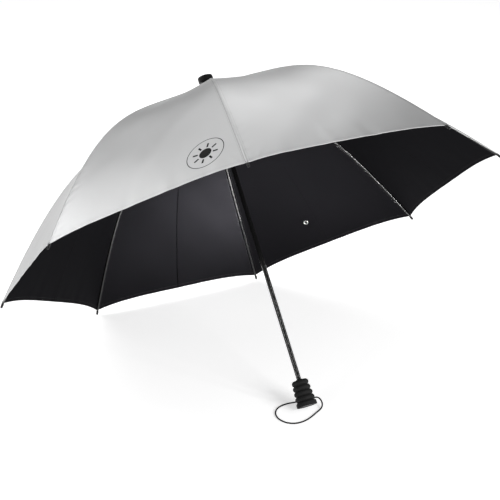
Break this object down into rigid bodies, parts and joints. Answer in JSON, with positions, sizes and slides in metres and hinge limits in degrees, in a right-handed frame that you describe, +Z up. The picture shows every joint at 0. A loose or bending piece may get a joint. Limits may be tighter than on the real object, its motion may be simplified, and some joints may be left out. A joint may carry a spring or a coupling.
{
  "type": "umbrella",
  "caption": "Open eight-panel trekking umbrella with a silver canopy, black lining, slim shaft and ringed foam grip, lying on two rib tips and its grip.",
  "frame": {"origin": "on the floor, midway between the outermost points of the open canopy, with the umbrella lying as it comes to rest: on two neighbouring rib tips and the foot of its grip", "axes": "+Z up from the floor, +X across the umbrella, -Y towards the grip; the shaft leans from the grip towards +Y"},
  "size_m": [0.8994, 0.7104, 0.5995],
  "materials": {
    "canopy_fabric": "satin",
    "rib_fibreglass": "gloss",
    "stretcher_metal": "satin",
    "shaft_black": "gloss",
    "moulded_black": "satin",
    "spring_steel": "satin",
    "grip_foam": "matte",
    "cord_black": "matte",
    "stud_metal": "polished"
  },
  "bodies": {
    "root": {"shaft": "shaft_black", "end_cap": "moulded_black", "crown_notch": "moulded_black", "notch_wire": "spring_steel", "foam_grip": "grip_foam", "grip_core": "moulded_black", "wrist_cord": "cord_black"},
    "runner": {"runner": "moulded_black", "runner_wire": "spring_steel"},
    "open_catch": {"open_catch": "spring_steel"},
    "closed_catch": {"closed_catch": "spring_steel"},
    "rib_1": {"rib_inner_1": "rib_fibreglass", "canopy_inner_1": "canopy_fabric"},
    "rib_end_1": {"rib_outer_1": "rib_fibreglass", "rib_tip_1": "moulded_black", "canopy_outer_1": "canopy_fabric"},
    "stretcher_1": {"stretcher_1": "stretcher_metal"},
    "rib_2": {"rib_inner_2": "rib_fibreglass", "canopy_inner_2": "canopy_fabric"},
    "rib_end_2": {"rib_outer_2": "rib_fibreglass", "rib_tip_2": "moulded_black", "canopy_outer_2": "canopy_fabric", "press_stud": "stud_metal"},
    "stretcher_2": {"stretcher_2": "stretcher_metal"},
    "rib_3": {"rib_inner_3": "rib_fibreglass", "canopy_inner_3": "canopy_fabric"},
    "rib_end_3": {"rib_outer_3": "rib_fibreglass", "rib_tip_3": "moulded_black", "canopy_outer_3": "canopy_fabric"},
    "stretcher_3": {"stretcher_3": "stretcher_metal"},
    "rib_4": {"rib_inner_4": "rib_fibreglass", "canopy_inner_4": "canopy_fabric"},
    "rib_end_4": {"rib_outer_4": "rib_fibreglass", "rib_tip_4": "moulded_black", "canopy_outer_4": "canopy_fabric"},
    "stretcher_4": {"stretcher_4": "stretcher_metal"},
    "rib_5": {"rib_inner_5": "rib_fibreglass", "canopy_inner_5": "canopy_fabric"},
    "rib_end_5": {"rib_outer_5": "rib_fibreglass", "rib_tip_5": "moulded_black", "canopy_outer_5": "canopy_fabric"},
    "stretcher_5": {"stretcher_5": "stretcher_metal"},
    "rib_6": {"rib_inner_6": "rib_fibreglass", "canopy_inner_6": "canopy_fabric"},
    "rib_end_6": {"rib_outer_6": "rib_fibreglass", "rib_tip_6": "moulded_black", "canopy_outer_6": "canopy_fabric"},
    "stretcher_6": {"stretcher_6": "stretcher_metal"},
    "rib_7": {"rib_inner_7": "rib_fibreglass", "canopy_inner_7": "canopy_fabric"},
    "rib_end_7": {"rib_outer_7": "rib_fibreglass", "rib_tip_7": "moulded_black", "canopy_outer_7": "canopy_fabric"},
    "stretcher_7": {"stretcher_7": "stretcher_metal"},
    "rib_8": {"rib_inner_8": "rib_fibreglass", "canopy_inner_8": "canopy_fabric"},
    "rib_end_8": {"rib_outer_8": "rib_fibreglass", "rib_tip_8": "moulded_black", "canopy_outer_8": "canopy_fabric"},
    "stretcher_8": {"stretcher_8": "stretcher_metal"}
  },
  "joints": [
    {"name": "rib_fold_1", "type": "hinge", "parent": "root", "child": "rib_1", "pos_m": [0.00831, 0.18405, 0.50818], "axis": [-0.3827, 0.728, -0.5688], "range_deg": [0, 69.6], "deforming": ["canopy_inner_1"]},
    {"name": "rib_flex_1", "type": "hinge", "parent": "rib_1", "child": "rib_end_1", "pos_m": [0.20994, 0.20996, 0.40571], "axis": [-0.3827, 0.728, -0.5688], "range_deg": [-20.1, 0], "deforming": ["canopy_outer_1"]},
    {"name": "stretcher_fold_1", "type": "hinge", "parent": "rib_1", "child": "stretcher_1", "pos_m": [0.2025, 0.20681, 0.40668], "axis": [-0.3827, 0.728, -0.5688], "range_deg": [-139.3, 0]},
    {"name": "rib_fold_2", "type": "hinge", "parent": "root", "child": "rib_2", "pos_m": [0.00344, 0.18789, 0.50519], "axis": [-0.9239, 0.3015, -0.2356], "range_deg": [0, 69.7], "deforming": ["canopy_inner_2"]},
    {"name": "rib_flex_2", "type": "hinge", "parent": "rib_2", "child": "rib_end_2", "pos_m": [0.08696, 0.30687, 0.33], "axis": [-0.9239, 0.3015, -0.2356], "range_deg": [-20.1, 0], "deforming": ["canopy_outer_2"]},
    {"name": "stretcher_fold_2", "type": "hinge", "parent": "rib_2", "child": "stretcher_2", "pos_m": [0.08388, 0.30029, 0.33365], "axis": [-0.9239, 0.3015, -0.2356], "range_deg": [-139.3, 0]},
    {"name": "rib_fold_3", "type": "hinge", "parent": "root", "child": "rib_3", "pos_m": [-0.00344, 0.18789, 0.50519], "axis": [-0.9239, -0.3015, 0.2356], "range_deg": [0, 69.7], "deforming": ["canopy_inner_3"]},
    {"name": "rib_flex_3", "type": "hinge", "parent": "rib_3", "child": "rib_end_3", "pos_m": [-0.08696, 0.30687, 0.33], "axis": [-0.9239, -0.3015, 0.2356], "range_deg": [-20.1, 0], "deforming": ["canopy_outer_3"]},
    {"name": "stretcher_fold_3", "type": "hinge", "parent": "rib_3", "child": "stretcher_3", "pos_m": [-0.08388, 0.30029, 0.33365], "axis": [-0.9239, -0.3015, 0.2356], "range_deg": [-139.3, 0]},
    {"name": "rib_fold_4", "type": "hinge", "parent": "root", "child": "rib_4", "pos_m": [-0.00831, 0.18405, 0.50818], "axis": [-0.3827, -0.728, 0.5688], "range_deg": [0, 69.7], "deforming": ["canopy_inner_4"]},
    {"name": "rib_flex_4", "type": "hinge", "parent": "rib_4", "child": "rib_end_4", "pos_m": [-0.20994, 0.20996, 0.40571], "axis": [-0.3827, -0.728, 0.5688], "range_deg": [-20.1, 0], "deforming": ["canopy_outer_4"]},
    {"name": "stretcher_fold_4", "type": "hinge", "parent": "rib_4", "child": "stretcher_4", "pos_m": [-0.2025, 0.20681, 0.40668], "axis": [-0.3827, -0.728, 0.5688], "range_deg": [-139.3, 0]},
    {"name": "rib_fold_5", "type": "hinge", "parent": "root", "child": "rib_5", "pos_m": [-0.00831, 0.17862, 0.51243], "axis": [0.3827, -0.728, 0.5688], "range_deg": [0, 69.7], "deforming": ["canopy_inner_5"]},
    {"name": "rib_flex_5", "type": "hinge", "parent": "rib_5", "child": "rib_end_5", "pos_m": [-0.20994, 0.07292, 0.5128], "axis": [0.3827, -0.728, 0.5688], "range_deg": [-20.1, 0], "deforming": ["canopy_outer_5"]},
    {"name": "stretcher_fold_5", "type": "hinge", "parent": "rib_5", "child": "stretcher_5", "pos_m": [-0.2025, 0.07463, 0.50998], "axis": [0.3827, -0.728, 0.5688], "range_deg": [-139.3, 0]},
    {"name": "rib_fold_6", "type": "hinge", "parent": "root", "child": "rib_6", "pos_m": [-0.00344, 0.17478, 0.51542], "axis": [0.9239, -0.3015, 0.2356], "range_deg": [0, 69.7], "deforming": ["canopy_inner_6"]},
    {"name": "rib_flex_6", "type": "hinge", "parent": "rib_6", "child": "rib_end_6", "pos_m": [-0.08696, -0.02398, 0.58852], "axis": [0.9239, -0.3015, 0.2356], "range_deg": [-20.1, 0], "deforming": ["canopy_outer_6"]},
    {"name": "stretcher_fold_6", "type": "hinge", "parent": "rib_6", "child": "stretcher_6", "pos_m": [-0.08388, -0.01885, 0.58301], "axis": [0.9239, -0.3015, 0.2356], "range_deg": [-139.3, 0]},
    {"name": "rib_fold_7", "type": "hinge", "parent": "root", "child": "rib_7", "pos_m": [0.00344, 0.17478, 0.51542], "axis": [0.9239, 0.3015, -0.2356], "range_deg": [0, 69.7], "deforming": ["canopy_inner_7"]},
    {"name": "rib_flex_7", "type": "hinge", "parent": "rib_7", "child": "rib_end_7", "pos_m": [0.08696, -0.02398, 0.58852], "axis": [0.9239, 0.3015, -0.2356], "range_deg": [-20.1, 0], "deforming": ["canopy_outer_7"]},
    {"name": "stretcher_fold_7", "type": "hinge", "parent": "rib_7", "child": "stretcher_7", "pos_m": [0.08388, -0.01885, 0.58301], "axis": [0.9239, 0.3015, -0.2356], "range_deg": [-139.3, 0]},
    {"name": "rib_fold_8", "type": "hinge", "parent": "root", "child": "rib_8", "pos_m": [0.00831, 0.17862, 0.51243], "axis": [0.3827, 0.728, -0.5688], "range_deg": [0, 69.7], "deforming": ["canopy_inner_8"]},
    {"name": "rib_flex_8", "type": "hinge", "parent": "rib_8", "child": "rib_end_8", "pos_m": [0.20994, 0.07292, 0.5128], "axis": [0.3827, 0.728, -0.5688], "range_deg": [-20.1, 0], "deforming": ["canopy_outer_8"]},
    {"name": "stretcher_fold_8", "type": "hinge", "parent": "rib_8", "child": "stretcher_8", "pos_m": [0.2025, 0.07463, 0.50998], "axis": [0.3827, 0.728, -0.5688], "range_deg": [-139.3, 0]},
    {"name": "runner_turn", "type": "hinge", "parent": "stretcher_1", "child": "runner", "pos_m": [0.00831, 0.10282, 0.40424], "axis": [-0.3827, 0.728, -0.5688], "range_deg": [0, 69.7]},
    {"name": "open_catch_press", "type": "slide", "parent": "root", "child": "open_catch", "axis": [0, -0.788, 0.6157], "range_m": [0, 0.0015], "stiffness_N_per_m": 300, "springref_m": -0.002},
    {"name": "closed_catch_press", "type": "slide", "parent": "root", "child": "closed_catch", "axis": [0, -0.788, 0.6157], "range_m": [0, 0.0015], "stiffness_N_per_m": 300, "springref_m": -0.002}
  ],
  "couplings": [
    {"joint": "rib_flex_1", "follows": "rib_fold_1", "ratio": -0.28736},
    {"joint": "stretcher_fold_1", "follows": "rib_fold_1", "ratio": -2},
    {"joint": "rib_fold_2", "follows": "rib_fold_1", "ratio": 1},
    {"joint": "rib_flex_2", "follows": "rib_fold_1", "ratio": -0.28736},
    {"joint": "stretcher_fold_2", "follows": "rib_fold_1", "ratio": -2},
    {"joint": "rib_fold_3", "follows": "rib_fold_1", "ratio": 1},
    {"joint": "rib_flex_3", "follows": "rib_fold_1", "ratio": -0.28736},
    {"joint": "stretcher_fold_3", "follows": "rib_fold_1", "ratio": -2},
    {"joint": "rib_fold_4", "follows": "rib_fold_1", "ratio": 1},
    {"joint": "rib_flex_4", "follows": "rib_fold_1", "ratio": -0.28736},
    {"joint": "stretcher_fold_4", "follows": "rib_fold_1", "ratio": -2},
    {"joint": "rib_fold_5", "follows": "rib_fold_1", "ratio": 1},
    {"joint": "rib_flex_5", "follows": "rib_fold_1", "ratio": -0.28736},
    {"joint": "stretcher_fold_5", "follows": "rib_fold_1", "ratio": -2},
    {"joint": "rib_fold_6", "follows": "rib_fold_1", "ratio": 1},
    {"joint": "rib_flex_6", "follows": "rib_fold_1", "ratio": -0.28736},
    {"joint": "stretcher_fold_6", "follows": "rib_fold_1", "ratio": -2},
    {"joint": "rib_fold_7", "follows": "rib_fold_1", "ratio": 1},
    {"joint": "rib_flex_7", "follows": "rib_fold_1", "ratio": -0.28736},
    {"joint": "stretcher_fold_7", "follows": "rib_fold_1", "ratio": -2},
    {"joint": "rib_fold_8", "follows": "rib_fold_1", "ratio": 1},
    {"joint": "rib_flex_8", "follows": "rib_fold_1", "ratio": -0.28736},
    {"joint": "stretcher_fold_8", "follows": "rib_fold_1", "ratio": -2},
    {"joint": "runner_turn", "follows": "rib_fold_1", "ratio": 1}
  ]
}
